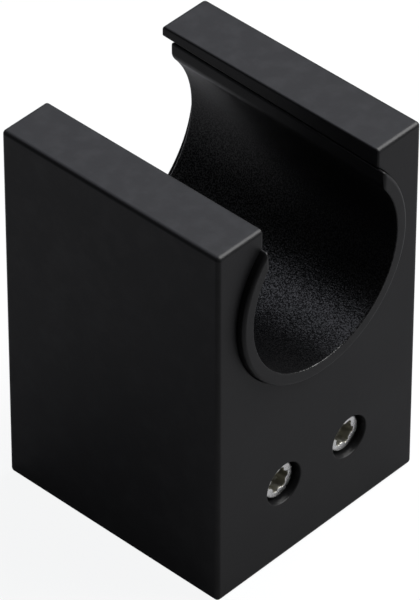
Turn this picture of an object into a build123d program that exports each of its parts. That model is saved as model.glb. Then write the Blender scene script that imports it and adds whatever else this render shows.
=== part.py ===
from build123d import *

import os

# Hair dryer holder: a square block that screws flat against a wall. A round cradle, open at
# the top through a slot, runs through it from front to back and holds a ring-shaped liner.
#
# Millimetres, +Z up. The wall face of the block lies in the plane Y = 0 and the block stands
# in front of it, towards -Y. X = 0 is the middle, and Z = 0 is the height of the two screws.

# Block
BLOCK_WIDTH = 60.0
BLOCK_DEPTH = 60.0
BLOCK_HEIGHT = 92.0
EDGE_RADIUS = 1.0
RIM_RADIUS = 0.5
BORE_RIM_RADIUS = 0.3

# Cradle: a tapered bore, wider towards the wall, with a slot from it to the top
CRADLE_ABOVE_SCREWS = 50.0
SLOT_WIDTH = 34.0
BORE_RADIUS_FRONT = 24.5
BORE_RADIUS_WALL = 26.0

# Liner: an open ring that lines the bore, pushed in from the wall side as far as its taper goes
LINER_THICKNESS = 3.0
LINER_STANDS_OUT = 1.8
LINER_SET_BACK = 2.4
LINER_CLEARANCE = 0.05
LINER_EDGE_RADIUS = 0.8

# Mounting screws: M5 cap screws with a six-lobe socket, 70 mm under the head. The shank is as
# thin as the thread's pitch diameter, and the thread starts just past the wall face.
SCREW_SPACING = 20.0
SCREW_ABOVE_BASE = 20.0
CLEARANCE_HOLE_RADIUS = 2.75
COUNTERBORE_RADIUS = 5.0
COUNTERBORE_EDGE = 0.3
HEAD_BELOW_FACE = 1.6
HEAD_RADIUS = 4.25
HEAD_HEIGHT = 5.0
HEAD_EDGE_RADIUS = 0.25
SHANK_RADIUS = 2.24
SHANK_LENGTH = 70.0
THREAD_RADIUS = 2.5
THREAD_LENGTH = 16.3
TIP_CHAMFER = 0.6
SOCKET_LOBE_RADIUS = 2.9
SOCKET_WAIST_RADIUS = 2.3
SOCKET_FLUTE_RADIUS = 1.2
SOCKET_CORNER_RADIUS = 0.4
SOCKET_EDGE = 0.12
SOCKET_DEPTH = 2.6
SOCKET_LOBES = 6

# Worked out from the sizes above
FRONT_Y = -BLOCK_DEPTH
BASE_Z = -SCREW_ABOVE_BASE
SLOT_HALF = SLOT_WIDTH / 2
TAPER = (BORE_RADIUS_WALL - BORE_RADIUS_FRONT) / BLOCK_DEPTH
COUNTERBORE_DEPTH = HEAD_BELOW_FACE + HEAD_HEIGHT
HEAD_TOP_Y = FRONT_Y + HEAD_BELOW_FACE
SEAT_Y = FRONT_Y + COUNTERBORE_DEPTH
TIP_Y = SEAT_Y + SHANK_LENGTH
THREAD_START_Y = TIP_Y - THREAD_LENGTH
LINER_FRONT_Y = FRONT_Y - LINER_STANDS_OUT
LINER_WALL_Y = -LINER_SET_BACK
OVERRUN = 5.0
SLOT_LENGTH = BLOCK_DEPTH + 2 * OVERRUN

BORE_AXIS = Axis((0, 0, CRADLE_ABOVE_SCREWS), (0, 1, 0))


def bore_radius(y):
    """Radius of the tapered bore at a distance y from the wall plane."""
    return BORE_RADIUS_WALL + TAPER * y


def liner_height(y, depth=0.0):
    """Height, above the bore axis, of the liner's wall at y, a depth in from its outside."""
    return CRADLE_ABOVE_SCREWS + bore_radius(y) - LINER_CLEARANCE - depth


def save(builder, name):
    """Label a finished piece and write it as its own STEP file."""
    builder.part.label = name
    export_step(builder.part, f"parts/{name}.step")


os.makedirs("parts", exist_ok=True)

# Outline of the slot, from the bore axis up past the top: cuts both the block and the liner
with BuildSketch(Plane.XZ.offset(-OVERRUN)) as slot_outline:
    with Locations((0, CRADLE_ABOVE_SCREWS)):
        Rectangle(SLOT_WIDTH, BLOCK_HEIGHT, align=(Align.CENTER, Align.MIN))

# Holder body: the block with its slot, bore and two counterbored holes
with BuildPart() as holder_body:
    with BuildSketch(Plane.XY.offset(BASE_Z)):
        with Locations((0, FRONT_Y / 2)):
            Rectangle(BLOCK_WIDTH, BLOCK_DEPTH)
    extrude(amount=BLOCK_HEIGHT)
    fillet(holder_body.edges(), EDGE_RADIUS)

    extrude(slot_outline.sketch, amount=SLOT_LENGTH, mode=Mode.SUBTRACT)

    with BuildSketch(Plane.YZ):
        with BuildLine():
            Polyline(
                (OVERRUN, CRADLE_ABOVE_SCREWS),
                (OVERRUN, CRADLE_ABOVE_SCREWS + bore_radius(OVERRUN)),
                (FRONT_Y - OVERRUN, CRADLE_ABOVE_SCREWS + bore_radius(FRONT_Y - OVERRUN)),
                (FRONT_Y - OVERRUN, CRADLE_ABOVE_SCREWS),
                close=True,
            )
        make_face()
    revolve(axis=BORE_AXIS, mode=Mode.SUBTRACT)

    # Break the edges of the slot and bore on the top, front and wall faces
    slot_rims = (
        holder_body.edges()
        .filter_by(Axis.Y)
        .filter_by_position(Axis.X, -SLOT_HALF, SLOT_HALF)
        .group_by(Axis.Z)[-1]
    )
    fillet(slot_rims, RIM_RADIUS)
    bore_rims = (
        holder_body.edges()
        .filter_by(GeomType.CIRCLE)
        .filter_by(lambda edge: edge.radius > BORE_RADIUS_FRONT - RIM_RADIUS)
        .filter_by(lambda edge: abs(edge.arc_center.Z - CRADLE_ABOVE_SCREWS) < 0.01)
    )
    fillet(bore_rims, BORE_RIM_RADIUS)

    front_face = Plane(origin=(0, FRONT_Y, 0), x_dir=(1, 0, 0), z_dir=(0, -1, 0))
    with Locations(front_face):
        with GridLocations(SCREW_SPACING, 0, 2, 1):
            CounterBoreHole(CLEARANCE_HOLE_RADIUS, COUNTERBORE_RADIUS, COUNTERBORE_DEPTH)
    hole_mouths = (
        holder_body.edges()
        .filter_by(GeomType.CIRCLE)
        .filter_by(lambda edge: abs(edge.radius - COUNTERBORE_RADIUS) < 0.01)
        .group_by(Axis.Y)[0]
    )
    fillet(hole_mouths, COUNTERBORE_EDGE)

save(holder_body, "holder_body")

# Cradle liner: an open ring with the bore's taper, its tips flush with the sides of the slot
with BuildPart() as cradle_liner:
    with BuildSketch(Plane.YZ):
        with BuildLine():
            Polyline(
                (LINER_FRONT_Y, liner_height(LINER_FRONT_Y, LINER_THICKNESS)),
                (LINER_FRONT_Y, liner_height(LINER_FRONT_Y)),
                (LINER_WALL_Y, liner_height(LINER_WALL_Y)),
                (LINER_WALL_Y, liner_height(LINER_WALL_Y, LINER_THICKNESS)),
                close=True,
            )
        make_face()
    revolve(axis=BORE_AXIS)

    extrude(slot_outline.sketch, amount=SLOT_LENGTH, mode=Mode.SUBTRACT)
    fillet(cradle_liner.edges(), LINER_EDGE_RADIUS)

save(cradle_liner, "cradle_liner")

# Mounting screws: identical, left and right as seen from the front
for side, screw_x in (("left", -SCREW_SPACING / 2), ("right", SCREW_SPACING / 2)):
    with BuildPart() as mounting_screw:
        with BuildSketch(Plane.XY) as outline:
            with BuildLine():
                Polyline(
                    (screw_x, HEAD_TOP_Y),
                    (screw_x + HEAD_RADIUS, HEAD_TOP_Y),
                    (screw_x + HEAD_RADIUS, SEAT_Y),
                    (screw_x + SHANK_RADIUS, SEAT_Y),
                    (screw_x + SHANK_RADIUS, THREAD_START_Y),
                    (screw_x + THREAD_RADIUS, THREAD_START_Y),
                    (screw_x + THREAD_RADIUS, TIP_Y),
                    (screw_x, TIP_Y),
                    close=True,
                )
            make_face()
            head_corner = outline.vertices().group_by(Axis.Y)[0].sort_by(Axis.X)[-1]
            fillet(head_corner, HEAD_EDGE_RADIUS)
            tip_corner = outline.vertices().group_by(Axis.Y)[-1].sort_by(Axis.X)[-1]
            chamfer(tip_corner, TIP_CHAMFER)
        revolve(axis=Axis((screw_x, 0, 0), (0, 1, 0)))

        head_top = Plane(origin=(screw_x, HEAD_TOP_Y, 0), x_dir=(1, 0, 0), z_dir=(0, -1, 0))
        with BuildSketch(head_top) as socket:
            Circle(SOCKET_LOBE_RADIUS)
            with PolarLocations(SOCKET_WAIST_RADIUS + SOCKET_FLUTE_RADIUS, SOCKET_LOBES):
                Circle(SOCKET_FLUTE_RADIUS, mode=Mode.SUBTRACT)
            fillet(socket.vertices(), SOCKET_CORNER_RADIUS)
        extrude(amount=-SOCKET_DEPTH, mode=Mode.SUBTRACT)
        socket_mouth = mounting_screw.faces().filter_by(Axis.Y).sort_by(Axis.Y)[0].inner_wires()[0]
        chamfer(socket_mouth.edges(), SOCKET_EDGE)

    save(mounting_screw, f"mounting_screw_{side}")
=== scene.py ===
import math

import bmesh
import bpy
from mathutils import Matrix, Vector, noise


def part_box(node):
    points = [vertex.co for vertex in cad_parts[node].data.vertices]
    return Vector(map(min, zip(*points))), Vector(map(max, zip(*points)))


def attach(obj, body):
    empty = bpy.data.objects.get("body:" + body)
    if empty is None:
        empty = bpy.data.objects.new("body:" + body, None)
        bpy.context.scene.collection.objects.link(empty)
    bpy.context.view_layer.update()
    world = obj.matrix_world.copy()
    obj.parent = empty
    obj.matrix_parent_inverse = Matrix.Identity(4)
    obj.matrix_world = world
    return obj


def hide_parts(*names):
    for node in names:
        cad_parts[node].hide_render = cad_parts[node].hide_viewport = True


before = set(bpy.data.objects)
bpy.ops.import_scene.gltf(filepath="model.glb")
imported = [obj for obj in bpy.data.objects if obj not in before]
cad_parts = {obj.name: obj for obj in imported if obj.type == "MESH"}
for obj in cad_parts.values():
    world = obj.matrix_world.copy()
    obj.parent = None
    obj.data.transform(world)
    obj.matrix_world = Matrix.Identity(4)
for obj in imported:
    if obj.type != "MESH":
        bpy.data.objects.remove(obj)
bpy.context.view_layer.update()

# Blender works in metres, in the row frame: the wall face is the plane y = 0, the front looks
# towards -y, and the two screws are at z = 0. The object's sizes below are in millimetres.
MM = 0.001
BLOCK_LOW, BLOCK_HIGH = (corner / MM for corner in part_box("holder_body"))
LINER_LOW, LINER_HIGH = (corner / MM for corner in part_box("cradle_liner"))
MERGE_DISTANCE = 0.0005

# Liner: a tapered ring, open at the top. Its inner front edge is rounded less than the others
TAPER = 0.025
SLOT_HALF = 17.0
LINER_THICKNESS = 3.0
LINER_EDGE_RADIUS = 0.8
LINER_MOUTH_RADIUS = 0.3
LINER_OUTER_RADIUS = (LINER_HIGH.x - LINER_LOW.x) / 2
LINER_EDGE_ROWS = 6
BORE_Z = LINER_LOW.z + LINER_OUTER_RADIUS

# Grain of the liner's inside: spacing of the mesh, size and depth of a pebble
GRAIN_STEP = 0.275
GRAIN_CELL = 0.66
GRAIN_DEPTH = 0.045
# It is full this far from the liner's ends, and begins nearer to the tips by the second distance
GRAIN_MARGIN = 2.2
GRAIN_TIP_LEAD = 1.0
# It fades to that share of its depth between two heights, counted from the bore axis
GRAIN_FADE = (-12.0, 5.0)
GRAIN_FADED = 0.15
# Width of the creases between pebbles, and share and size of the finer noise on them
CREASE_WIDTH = 0.42
FINE_SHARE = 0.25
FINE_CELL = GRAIN_CELL * 0.45

# Screws: head and shank
SCREW_SPACING = 20.0
SCREW_COLUMNS = 96
HEAD_HEIGHT = 5.0
HEAD_EDGE_RADIUS = 0.25
HEAD_EDGE_ROWS = 5
HEAD_SIDE_START = 1.0
HEAD_SIDE_ROWS = 4
HEAD_CHAMFER = 0.2
NECK_FLARE = 0.3
NECK_LENGTH = 2.0
SHANK_RADIUS = 2.24
SHANK_ROWS = 12
# How far each screw was turned when it was tightened, seen from the front
SCREW_TURNS = {"left": math.radians(37), "right": math.radians(18)}

# Screws: metric thread, whose flat roots and crests are given as shares of its pitch
THREAD_RADIUS = 2.5
THREAD_PITCH = 0.8
THREAD_DEPTH = 0.49
THREAD_ROOT_FLAT = 0.25
THREAD_CREST_FLAT = 0.125
THREAD_LENGTH = 16.3
THREAD_ROWS_PER_TURN = 12
TIP_CHAMFER = 0.6
TIP_FACE_RADIUS = 1.2

# Screws: six-lobe socket with a shallow cone as its floor
SOCKET_LOBES = 6
SOCKET_LOBE_RADIUS = 2.9
SOCKET_WAIST_RADIUS = 2.3
SOCKET_FLUTE_RADIUS = 1.2
SOCKET_SHARPNESS = 12
SOCKET_DEPTH = 2.6
SOCKET_EDGE = 0.12
SOCKET_BEVEL = SOCKET_EDGE * 0.4
SOCKET_FOOT = 0.93
SOCKET_ROWS = 8
CONE_RADIUS = 1.7
CONE_DEPTH = 0.5
# Rows of points on the cone, and on the flat ring around the socket, as shares of their width
CONE_SHARES = (0.0, 0.3, 0.6, 0.97)
RING_SHARES = (0.0, 0.12, 0.4, 0.7, 1.0)
# A screw's two materials, as the indices that its faces carry
BRIGHT, DULL = 0, 1

# Camera, in metres: long lens, from the front left and above
VIEW_AZIMUTH = math.radians(-46.9)
VIEW_ELEVATION = math.radians(40.26)
VIEW_ROLL = math.radians(-0.08)
VIEW_DISTANCE = 1.2804
VIEW_AIM = Vector((-0.00018, -0.02984, 0.02597))
LENS_MM = 372.18
SENSOR_MM = 36.0

# Studio, in metres: paper that sweeps up into a wall, and a grey card under the block
SWEEP_RADIUS = 3.0
SWEEP_BEND = 1.0
SWEEP_WALL = 4.0
SWEEP_COLUMNS = 64
SWEEP_BEND_ROWS = 12
PAPER_GAP = 0.00005
CARD_HALF = 1.0
SKY_COLOUR = (0.95, 0.97, 1.0, 1.0)
SKY_STRENGTH = 0.10

# ---------------------------------------------------------------- helpers


def steps(first, last, count):
    """count + 1 evenly spaced numbers from first to last."""
    return [first + (last - first) * i / count for i in range(count + 1)]


def smooth_step(low, high, x):
    """0 below low, 1 above high, and smooth between them."""
    t = min(1.0, max(0.0, (x - low) / (high - low)))
    return t * t * (3 - 2 * t)


def tube_faces(rows, columns):
    """Quads between neighbouring rows of columns vertices each."""
    faces = []
    for row in range(rows - 1):
        for column in range(columns):
            after = (column + 1) % columns
            low, high = row * columns, (row + 1) * columns
            faces.append((low + column, low + after, high + after, high + column))
    return faces


def make_piece(name, points, faces, materials, body, node):
    """A mesh piece that rides on a body in place of a CAD node. Its points are in millimetres,
    and its faces are (corners, material index) pairs."""
    mesh = bpy.data.meshes.new(name)
    mesh.from_pydata([Vector(p) * MM for p in points], [], [corners for corners, _ in faces])
    for polygon, (_, index) in zip(mesh.polygons, faces):
        polygon.material_index = index
    bm = bmesh.new()
    bm.from_mesh(mesh)
    bmesh.ops.remove_doubles(bm, verts=bm.verts, dist=MERGE_DISTANCE * MM)
    bmesh.ops.recalc_face_normals(bm, faces=bm.faces)
    for face in bm.faces:
        face.smooth = True
    bm.to_mesh(mesh)
    bm.free()
    for material in materials:
        mesh.materials.append(material)
    piece = bpy.data.objects.new(name, mesh)
    bpy.context.scene.collection.objects.link(piece)
    weighted = piece.modifiers.new("weighted_normals", "WEIGHTED_NORMAL")
    weighted.mode = "FACE_AREA_WITH_ANGLE"
    weighted.weight = 100
    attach(piece, body)
    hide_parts(node)
    return piece


# ---------------------------------------------------------------- materials

# Colours from dark to light, and how strongly the two blacks reflect, where 0.5 is clear lacquer
COAT_COLOURS = (0.0028, 0.0028, 0.0031), (0.0044, 0.0044, 0.0048)
COAT_RUBBED = (0.008, 0.008, 0.0085)
COAT_SPECULAR = 0.18
COAT_CLOUD_SHARE = 0.6
RUBBED_GLOSS = 0.06
PEBBLE_COLOURS = (0.0018, 0.0018, 0.0020), (0.0010, 0.0010, 0.0011)
LINER_SPECULAR = 0.215
# The grain's look ends between these depths below the inner surface, in millimetres
INSIDE_BAND = (0.2, 0.45)
GRAIN_GLOSS = 0.10
GRAIN_NOISE = 0.35
STEEL_COLOURS = (0.70, 0.70, 0.69), (0.86, 0.86, 0.85)
RECESS_COLOURS = (0.27, 0.26, 0.215), (0.44, 0.43, 0.385)
PAPER_COLOURS = (0.036, 0.036, 0.036), (0.042, 0.042, 0.042)
PAPER_GLOW = (0.90, 0.905, 0.91, 1.0)
# The card's two colours paint the key light's falloff on it, darker on the left and lighter on the
# right; its glow is painted fill light
CARD_PAINTED_FALLOFF = (0.152, 0.152, 0.157), (0.174, 0.174, 0.179)
CARD_GLOW = (0.05, 0.05, 0.052, 1.0)
PAPER_ROUGHNESS = 0.9

# Sockets of a mix node that mixes colours
MIX_INPUTS = (6, 7)
MIX_RESULT = 2


class Nodes:
    """A material's node tree, with short calls to add and link nodes."""

    def __init__(self, name):
        self.material = bpy.data.materials.new(name)
        self.material.use_nodes = True
        self.tree = self.material.node_tree
        self.shader = self.tree.nodes["Principled BSDF"]

    def add(self, kind, **settings):
        node = self.tree.nodes.new(kind)
        for key, value in settings.items():
            setattr(node, key, value)
        return node

    def link(self, source, target):
        self.tree.links.new(source, target)

    def set(self, socket, value):
        """A number, a colour or another node's output on one of the shader's own sockets."""
        if isinstance(value, bpy.types.NodeSocket):
            self.link(value, self.shader.inputs[socket])
        else:
            self.shader.inputs[socket].default_value = value

    def math(self, operation, *inputs):
        """Output of a math node whose inputs are sockets or numbers."""
        node = self.add("ShaderNodeMath", operation=operation)
        for socket, given in zip(node.inputs, inputs):
            if isinstance(given, (int, float)):
                socket.default_value = given
            else:
                self.link(given, socket)
        return node.outputs[0]

    def ramp(self, source, low, high, to_low=0.0, to_high=1.0):
        """Source mapped from low..high to to_low..to_high, clamped."""
        node = self.add("ShaderNodeMapRange")
        self.link(source, node.inputs["Value"])
        node.inputs["From Min"].default_value = low
        node.inputs["From Max"].default_value = high
        node.inputs["To Min"].default_value = to_low
        node.inputs["To Max"].default_value = to_high
        return node.outputs["Result"]

    def point(self):
        """The place on the object, in metres."""
        return self.add("ShaderNodeTexCoord").outputs["Object"]

    def split(self, point):
        node = self.add("ShaderNodeSeparateXYZ")
        self.link(point, node.inputs[0])
        return node.outputs["X"], node.outputs["Y"], node.outputs["Z"]

    def noise(self, point, cell, detail=3.0):
        """Noise whose cells are that many millimetres across."""
        node = self.add("ShaderNodeTexNoise")
        self.link(point, node.inputs["Vector"])
        node.inputs["Scale"].default_value = 1 / (cell * MM)
        node.inputs["Detail"].default_value = detail
        return node.outputs["Fac"]

    def pebbles(self, point, cell):
        """Round cells that many millimetres across: 0 in their middle, higher at their rims."""
        node = self.add("ShaderNodeTexVoronoi", feature="F1")
        self.link(point, node.inputs["Vector"])
        node.inputs["Scale"].default_value = 1 / (cell * MM)
        return node.outputs["Distance"]

    def mix(self, factor, low, high):
        """Colour from low to high. Either may be an RGB triple or another node's output."""
        node = self.add("ShaderNodeMix", data_type="RGBA")
        self.link(factor, node.inputs["Factor"])
        for index, given in zip(MIX_INPUTS, (low, high)):
            if isinstance(given, tuple):
                node.inputs[index].default_value = (*given, 1.0)
            else:
                self.link(given, node.inputs[index])
        return node.outputs[MIX_RESULT]

    def bump(self, height, depth, normal=None):
        """Normal of a surface whose height of 0 to 1 stands for that many millimetres."""
        node = self.add("ShaderNodeBump")
        self.link(height, node.inputs["Height"])
        node.inputs["Distance"].default_value = depth * MM
        if normal is not None:
            self.link(normal, node.inputs["Normal"])
        return node.outputs["Normal"]


def radius_from(n, x, z, middle_z):
    """Distance from an axis along Y that passes through x = 0 and z = middle_z."""
    rise = n.math("SUBTRACT", z, middle_z)
    squares = n.math("ADD", n.math("MULTIPLY", x, x), n.math("MULTIPLY", rise, rise))
    return n.math("SQRT", squares)


def black_coating():
    """Satin black powder coat: fine orange peel, slightly uneven gloss, corners rubbed a bit."""
    n = Nodes("black_coating")
    point = n.point()
    cloud = n.noise(point, cell=16.0)
    speck = n.noise(point, cell=0.25, detail=1.0)
    clouds = n.math("MULTIPLY", cloud, COAT_CLOUD_SHARE)
    tone = n.math("ADD", clouds, n.math("MULTIPLY", speck, 1 - COAT_CLOUD_SHARE))

    corner = n.add("ShaderNodeNewGeometry").outputs["Pointiness"]
    on_corner = n.ramp(corner, low=0.52, high=0.60)
    patchy = n.ramp(n.noise(point, cell=4.0), low=0.45, high=0.75)
    rubbed = n.math("MULTIPLY", on_corner, patchy)
    n.set("Base Color", n.mix(rubbed, n.mix(tone, *COAT_COLOURS), COAT_RUBBED))
    n.set("Specular IOR Level", COAT_SPECULAR)
    satin = n.ramp(cloud, low=0.3, high=0.7, to_low=0.40, to_high=0.46)
    n.set("Roughness", n.math("SUBTRACT", satin, n.math("MULTIPLY", rubbed, RUBBED_GLOSS)))
    orange_peel = n.bump(n.noise(point, cell=0.9, detail=2.0), depth=0.010)
    n.set("Normal", n.bump(speck, depth=0.0012, normal=orange_peel))
    return n.material


def liner_plastic():
    """Black moulded plastic: smooth on its rims, with a fine pebble grain on the inside. The grain
    glints here and there, and fades out towards the tips."""
    n = Nodes("liner_plastic")
    point = n.point()
    x, y, z = n.split(point)
    inner_radius = (LINER_OUTER_RADIUS - LINER_THICKNESS) * MM
    inner_surface = n.math("MULTIPLY_ADD", y, TAPER, inner_radius)
    depth = n.math("SUBTRACT", radius_from(n, x, z, BORE_Z * MM), inner_surface)
    inside = n.ramp(depth, *(edge * MM for edge in INSIDE_BAND), to_low=1.0, to_high=0.0)
    heights = ((BORE_Z + rise) * MM for rise in GRAIN_FADE)
    faded = n.ramp(z, *heights, to_low=1.0, to_high=GRAIN_FADED)
    grained = n.math("MULTIPLY", inside, faded)

    pebbles = n.pebbles(point, cell=0.36)
    n.set("Base Color", n.mix(pebbles, *PEBBLE_COLOURS))
    sparkle = n.noise(point, cell=0.32, detail=2.0)
    glints = n.ramp(sparkle, low=0.43, high=0.60, to_low=-0.17, to_high=0.22)
    n.set("Specular IOR Level", n.math("MULTIPLY_ADD", grained, glints, LINER_SPECULAR))
    satin = n.ramp(n.noise(point, cell=9.0), low=0.3, high=0.7, to_low=0.40, to_high=0.45)
    n.set("Roughness", n.math("MULTIPLY_ADD", grained, -GRAIN_GLOSS, satin))
    fine = n.noise(point, cell=0.16, detail=2.0)
    height = n.math("MULTIPLY", n.math("MULTIPLY_ADD", fine, GRAIN_NOISE, pebbles), grained)
    ripple = n.bump(n.noise(point, cell=0.5, detail=2.0), depth=0.003)
    n.set("Normal", n.bump(height, depth=0.045, normal=ripple))
    return n.material


def turned_rings(n, point, pitch):
    """Height of fine concentric tool marks about each screw's axis."""
    x, _, z = n.split(point)
    off_axis = n.math("SUBTRACT", n.math("ABSOLUTE", x), SCREW_SPACING / 2 * MM)
    radius = radius_from(n, off_axis, z, 0.0)
    return n.math("SINE", n.math("MULTIPLY", radius, 2 * math.pi / (pitch * MM)))


def screw_steel():
    """Bright stainless steel with turned rings across the head and faint handling marks."""
    n = Nodes("screw_steel")
    point = n.point()
    mottle = n.noise(point, cell=1.1)
    n.set("Metallic", 1.0)
    n.set("Base Color", n.mix(mottle, *STEEL_COLOURS))
    n.set("Roughness", n.ramp(mottle, low=0.3, high=0.7, to_low=0.20, to_high=0.34))
    handled = n.bump(n.noise(point, cell=0.5), depth=0.006)
    n.set("Normal", n.bump(turned_rings(n, point, pitch=0.16), depth=0.0016, normal=handled))
    return n.material


def recess_steel():
    """The pressed socket: the same steel, duller, and darker and browner than the head."""
    n = Nodes("recess_steel")
    point = n.point()
    socket_tone = n.noise(point, cell=0.7)
    n.set("Metallic", 1.0)
    # The socket's steel is darker and browner than the head's
    n.set("Base Color", n.mix(socket_tone, *RECESS_COLOURS))
    n.set("Roughness", n.ramp(socket_tone, low=0.3, high=0.7, to_low=0.38, to_high=0.55))
    n.set("Normal", n.bump(n.noise(point, cell=0.22, detail=2.0), depth=0.012))
    return n.material


# ---------------------------------------------------------------- cradle liner


def liner_radius(y):
    """Outer radius of the liner at y."""
    return LINER_OUTER_RADIUS + TAPER * (y - LINER_HIGH.y + LINER_EDGE_RADIUS)


def liner_section():
    """The liner's section as (u, v, du, dv, grained) points. u runs from its front to its wall
    end and v from its outside to its inside. A point of the surface is (u, v) plus (du, dv)."""
    length = LINER_HIGH.y - LINER_LOW.y
    edge, mouth = LINER_EDGE_RADIUS, LINER_MOUTH_RADIUS
    rows = round((length - edge - mouth) / GRAIN_STEP)
    inner = LINER_THICKNESS - edge
    section = [(u, inner, 0.0, edge, True) for u in steps(mouth, length - edge, rows)]
    corners = (
        (length - edge, inner, 90, edge),
        (length - edge, edge, 0, edge),
        (edge, edge, -90, edge),
        (mouth, LINER_THICKNESS - mouth, -180, mouth),
    )
    for u, v, start, radius in corners:
        for angle in steps(math.radians(start), math.radians(start - 90), LINER_EDGE_ROWS):
            section.append((u, v, radius * math.cos(angle), radius * math.sin(angle), False))
    return section


def liner_stations():
    """Stations around the liner from one tip to the other, as (tip, turn, fullness). On a tip's
    rounding, tip is 1 or -1 and turn is the distance from the tip's face. Elsewhere tip is 0, and
    turn runs from 0 to 1."""
    round_end = [
        (LINER_EDGE_RADIUS * (1 - math.cos(a)), math.sin(a))
        for a in steps(0, math.pi / 2, LINER_EDGE_ROWS)
    ]
    sweep = 2 * (math.pi - math.asin(SLOT_HALF / LINER_OUTER_RADIUS))
    count = round(sweep * (LINER_OUTER_RADIUS - LINER_THICKNESS) / GRAIN_STEP)
    middle = [(0, turn, 1.0) for turn in steps(0, 1, count)]
    right = [(1, distance, fullness) for distance, fullness in round_end[:-1]]
    left = [(-1, distance, fullness) for distance, fullness in reversed(round_end[:-1])]
    return right + middle + left


def liner_angle(tip, turn, radius):
    """Angle from straight up of a station, at that radius from the bore axis."""
    if tip:
        return tip * math.asin((SLOT_HALF + turn) / radius) % (2 * math.pi)
    start = math.asin((SLOT_HALF + LINER_EDGE_RADIUS) / radius)
    return start + turn * 2 * (math.pi - start)


def grain_height(point):
    """Leather-like grain, 0 in its creases and 1 on its pebbles."""
    near, second = noise.voronoi(point / GRAIN_CELL)[0][:2]
    pebble = smooth_step(0.0, CREASE_WIDTH, second - near)
    fine = 0.5 + 0.5 * noise.noise(point / FINE_CELL)
    return (1 - FINE_SHARE) * pebble + FINE_SHARE * fine


def liner_point(station, spot):
    """A point of the liner's surface, in millimetres, with its grain."""
    tip, turn, fullness = station
    u, v, du, dv, grained = spot
    y = LINER_LOW.y + u + du * fullness
    radius = liner_radius(y) - v - dv * fullness
    angle = liner_angle(tip, turn, radius)
    around = Vector((math.sin(angle), 0.0, math.cos(angle)))
    point = Vector((0.0, y, BORE_Z)) + around * radius
    if not grained or tip:
        return point
    from_end = min(y - LINER_LOW.y, LINER_HIGH.y - y)
    from_tip = min(turn, 1 - turn) * 2 * math.pi * radius + GRAIN_TIP_LEAD
    depth = GRAIN_DEPTH * smooth_step(LINER_EDGE_RADIUS, GRAIN_MARGIN, min(from_end, from_tip))
    depth *= 1 - (1 - GRAIN_FADED) * smooth_step(*GRAIN_FADE, point.z - BORE_Z)
    return point + around * depth * (1 - grain_height(point))


def make_liner(material):
    """Tube of the section's points from tip to tip, closed by a face on each tip."""
    section, stations = liner_section(), liner_stations()
    points = [liner_point(station, spot) for station in stations for spot in section]
    faces = tube_faces(len(stations), len(section))
    last = len(points) - len(section)
    faces += [tuple(range(len(section))), tuple(range(last, len(points)))]
    return make_piece(
        "cradle_liner_grained",
        points,
        [(face, 0) for face in faces],
        [material],
        "liner",
        "cradle_liner",
    )


# ---------------------------------------------------------------- screws


def socket_radius(angle):
    """Outline of the six-lobe socket: lobes of one radius with round flutes between them."""
    pitch = 2 * math.pi / SOCKET_LOBES
    from_waist = (angle + pitch / 2) % pitch - pitch / 2
    flute_centre = SOCKET_WAIST_RADIUS + SOCKET_FLUTE_RADIUS
    reach = SOCKET_FLUTE_RADIUS**2 - (flute_centre * math.sin(from_waist)) ** 2
    if reach <= 0:
        return SOCKET_LOBE_RADIUS
    flute = flute_centre * math.cos(from_waist) - math.sqrt(reach)
    # The smaller of the two radii, with the corner between them smoothed
    total = sum(math.exp(-SOCKET_SHARPNESS * radius) for radius in (flute, SOCKET_LOBE_RADIUS))
    return -math.log(total) / SOCKET_SHARPNESS


def thread_radius(angle, along):
    """Radius of the metric thread: flat crests and roots with 60 degree flanks."""
    phase = (along / THREAD_PITCH + angle / (2 * math.pi)) % 1.0
    flank = 1 - THREAD_ROOT_FLAT - THREAD_CREST_FLAT
    height = min(1.0, max(0.0, (abs(2 * phase - 1) - THREAD_ROOT_FLAT) / flank))
    return THREAD_RADIUS - THREAD_DEPTH * (1 - height)


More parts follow.
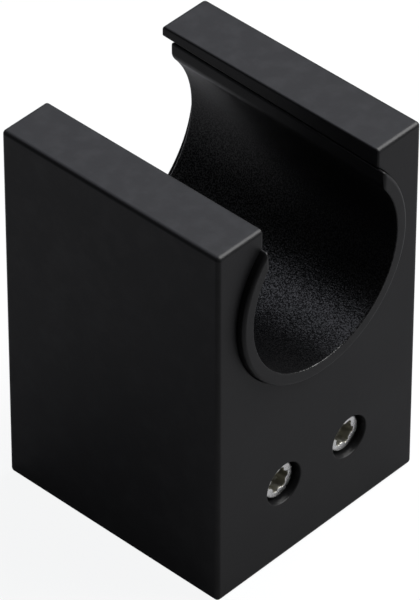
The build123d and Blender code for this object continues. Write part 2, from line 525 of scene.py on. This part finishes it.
def screw_rows(head_radius, length):
    """Rows of the screw's surface from the socket's floor round to the tip, as (depth below the
    head's top, radius as a function of the angle, material index)."""
    ring_radius = head_radius - HEAD_EDGE_RADIUS
    thread_start = length - THREAD_LENGTH

    def circle(radius):
        return lambda angle: radius

    def socket(extra=0.0, share=1.0):
        return lambda angle: share * socket_radius(angle) + extra

    def ring(share):
        """Between the socket's bevel, at 0, and the head's rounded edge, at 1."""
        return lambda angle: (
            (1 - share) * (socket_radius(angle) + SOCKET_EDGE) + share * ring_radius
        )

    def thread(depth):
        run_in = smooth_step(thread_start, thread_start + THREAD_PITCH, depth)
        tip_limit = THREAD_RADIUS - TIP_CHAMFER + max(0.0, length - depth)

        def radius(angle):
            full = thread_radius(angle, depth)
            return min(tip_limit, SHANK_RADIUS + run_in * (full - SHANK_RADIUS))

        return radius

    rows = []
    for share in CONE_SHARES:
        rows.append((SOCKET_DEPTH + CONE_DEPTH * (1 - share), circle(CONE_RADIUS * share), DULL))
    rows.append((SOCKET_DEPTH, socket(share=SOCKET_FOOT), DULL))
    walls = steps(SOCKET_DEPTH - SOCKET_EDGE, SOCKET_EDGE, SOCKET_ROWS)
    rows += [(depth, socket(), DULL) for depth in walls]
    rows.append((SOCKET_BEVEL, socket(SOCKET_BEVEL), BRIGHT))
    rows += [(0.0, ring(share), BRIGHT) for share in RING_SHARES]
    for a in steps(0, math.pi / 2, HEAD_EDGE_ROWS)[1:]:
        depth = HEAD_EDGE_RADIUS * (1 - math.cos(a))
        rows.append((depth, circle(ring_radius + HEAD_EDGE_RADIUS * math.sin(a)), BRIGHT))
    sides = steps(HEAD_SIDE_START, HEAD_HEIGHT - HEAD_CHAMFER, HEAD_SIDE_ROWS)
    rows += [(depth, circle(head_radius), BRIGHT) for depth in sides]
    rows += [
        (HEAD_HEIGHT, circle(head_radius - HEAD_CHAMFER), BRIGHT),
        (HEAD_HEIGHT, circle(SHANK_RADIUS + NECK_FLARE), BRIGHT),
        (HEAD_HEIGHT + NECK_FLARE, circle(SHANK_RADIUS), BRIGHT),
    ]
    shank = steps(HEAD_HEIGHT + NECK_LENGTH, thread_start, SHANK_ROWS)
    rows += [(depth, circle(SHANK_RADIUS), BRIGHT) for depth in shank]
    turns = THREAD_LENGTH / THREAD_PITCH
    threads = steps(thread_start, length, round(turns * THREAD_ROWS_PER_TURN))
    rows += [(depth, thread(depth), BRIGHT) for depth in threads[1:]]
    rows += [(length, circle(radius), BRIGHT) for radius in (TIP_FACE_RADIUS, 0.0)]
    return rows


def make_screw(side, materials):
    """Rows of points around the screw's axis, from the socket's floor round to the tip."""
    node = f"mounting_screw_{side}"
    low, high = (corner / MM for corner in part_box(node))
    middle_x, middle_z = (low.x + high.x) / 2, (low.z + high.z) / 2
    rows = screw_rows((high.x - low.x) / 2, high.y - low.y)
    points = []
    for depth, radius, _ in rows:
        for column in range(SCREW_COLUMNS):
            angle = 2 * math.pi * column / SCREW_COLUMNS
            out, turned = radius(angle), angle + SCREW_TURNS[side]
            x, z = middle_x + out * math.cos(turned), middle_z + out * math.sin(turned)
            points.append((x, low.y + depth, z))
    faces = tube_faces(len(rows), SCREW_COLUMNS)
    return make_piece(
        f"{node}_threaded",
        points,
        [(face, rows[i // SCREW_COLUMNS][2]) for i, face in enumerate(faces)],
        materials,
        f"screw_{side}",
        node,
    )


# ---------------------------------------------------------------- studio


def stage_piece(name, points, faces, material):
    """A surface of the studio, in metres, that isn't part of the object."""
    mesh = bpy.data.meshes.new(name)
    mesh.from_pydata(points, [], faces)
    mesh.materials.append(material)
    for polygon in mesh.polygons:
        polygon.use_smooth = True
    piece = bpy.data.objects.new(name, mesh)
    bpy.context.scene.collection.objects.link(piece)
    return piece


def sweep_paper(height):
    """Points and faces of a round floor whose edge curves up into a wall all the way round."""
    profile = [(share * SWEEP_RADIUS, height) for share in (0.0, 0.5)]
    for a in steps(0, math.pi / 2, SWEEP_BEND_ROWS):
        radius = SWEEP_RADIUS + SWEEP_BEND * math.sin(a)
        profile.append((radius, height + SWEEP_BEND * (1 - math.cos(a))))
    profile.append((SWEEP_RADIUS + SWEEP_BEND, height + SWEEP_WALL))
    points = []
    for radius, z in profile:
        for column in range(SWEEP_COLUMNS):
            angle = 2 * math.pi * column / SWEEP_COLUMNS
            points.append((radius * math.cos(angle), radius * math.sin(angle), z))
    return points, tube_faces(len(profile), SWEEP_COLUMNS)


def floor_paper():
    """White paper, lit evenly from below as well as from above, so its shadows stay pale."""
    n = Nodes("floor_paper")
    n.set("Base Color", n.mix(n.noise(n.point(), cell=300.0, detail=2.0), *PAPER_COLOURS))
    n.set("Roughness", PAPER_ROUGHNESS)
    n.set("Emission Color", PAPER_GLOW)
    n.set("Emission Strength", 1.0)
    return n.material


def bounce_grey():
    """Grey card that the block's sides reflect. Its colour is painted lighter on the right than on
    the left, standing for the key light's falloff. It glows faintly, a painted fill light as if
    lit through from below, which keeps the block's own shadow on it soft."""
    n = Nodes("bounce_grey")
    x, y, _ = n.split(n.point())
    # Painted light: the card's colour grows lighter towards the key softbox on the right
    painted_key_falloff = n.ramp(n.math("SUBTRACT", x, y), low=-0.10, high=0.16)
    n.set("Base Color", n.mix(painted_key_falloff, *CARD_PAINTED_FALLOFF))
    n.set("Roughness", PAPER_ROUGHNESS)
    n.set("Emission Color", CARD_GLOW)
    n.set("Emission Strength", 1.0)
    return n.material


def make_floors():
    """The pale paper is what the camera sees. A grey card at the block's foot is what the block
    reflects, because the glossy sides of a black block would turn grey on white paper."""
    foot = BLOCK_LOW.z * MM
    paper = stage_piece("floor", *sweep_paper(foot - PAPER_GAP), floor_paper())
    paper.visible_glossy = False
    paper.visible_diffuse = False
    paper.visible_shadow = False
    signs = (-1, -1), (1, -1), (1, 1), (-1, 1)
    corners = [(x * CARD_HALF, y * CARD_HALF, foot) for x, y in signs]
    card = stage_piece("bounce_card", corners, [(0, 1, 2, 3)], bounce_grey())
    card.visible_camera = False
    card.visible_shadow = False


def soft_light(name, towards, distance, size, radiance, colour):
    """A square softbox in that direction from the block, turned to face it."""
    data = bpy.data.lights.new(name, "AREA")
    data.shape = "SQUARE"
    data.size = size
    data.color = colour
    data.energy = radiance * math.pi * size * size
    light = bpy.data.objects.new(name, data)
    towards = Vector(towards).normalized()
    middle = (BLOCK_LOW + BLOCK_HIGH) / 2 * MM
    light.location = middle + towards * distance
    light.rotation_mode = "QUATERNION"
    light.rotation_quaternion = towards.to_track_quat("Z", "Y")
    light.visible_camera = False
    bpy.context.scene.collection.objects.link(light)


def make_lights():
    """A dim sky, a strong softbox on the right and a weak, bluish one above and behind."""
    world = bpy.data.worlds.new("studio")
    bpy.context.scene.world = world
    world.use_nodes = True
    sky = world.node_tree.nodes["Background"]
    sky.inputs["Color"].default_value = SKY_COLOUR
    sky.inputs["Strength"].default_value = SKY_STRENGTH
    soft_light(
        "key_softbox",
        towards=(0.60, -0.27, 0.73),
        distance=1.2,
        size=1.05,
        radiance=13.5,
        colour=(1.0, 1.0, 1.0),
    )
    soft_light(
        "top_softbox",
        towards=(0.25, 0.58, 0.78),
        distance=1.2,
        size=1.4,
        radiance=1.6,
        colour=(0.93, 0.96, 1.08),
    )


def make_camera():
    """A camera that looks at VIEW_AIM from VIEW_DISTANCE away."""
    data = bpy.data.cameras.new("camera")
    data.lens = LENS_MM
    data.sensor_width = SENSOR_MM
    data.clip_start = 0.05
    data.clip_end = 20.0
    right = Vector((math.cos(VIEW_AZIMUTH), math.sin(VIEW_AZIMUTH), 0.0))
    level = Vector((math.sin(VIEW_AZIMUTH), -math.cos(VIEW_AZIMUTH), 0.0))
    back = level * math.cos(VIEW_ELEVATION) + Vector((0.0, 0.0, math.sin(VIEW_ELEVATION)))
    turned = Matrix((right, back.cross(right), back)).transposed()
    turned = turned @ Matrix.Rotation(-VIEW_ROLL, 3, "Z")
    camera = bpy.data.objects.new("camera", data)
    camera.matrix_world = Matrix.Translation(VIEW_AIM + back * VIEW_DISTANCE) @ turned.to_4x4()
    bpy.context.scene.collection.objects.link(camera)
    bpy.context.scene.camera = camera


# ---------------------------------------------------------------- the scene

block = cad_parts["holder_body"]
block.data.materials.clear()
block.data.materials.append(black_coating())
make_liner(liner_plastic())
screw_materials = [screw_steel(), recess_steel()]
for side in ("left", "right"):
    make_screw(side, screw_materials)

make_floors()
make_lights()
make_camera()
bpy.context.scene.view_settings.view_transform = "Standard"
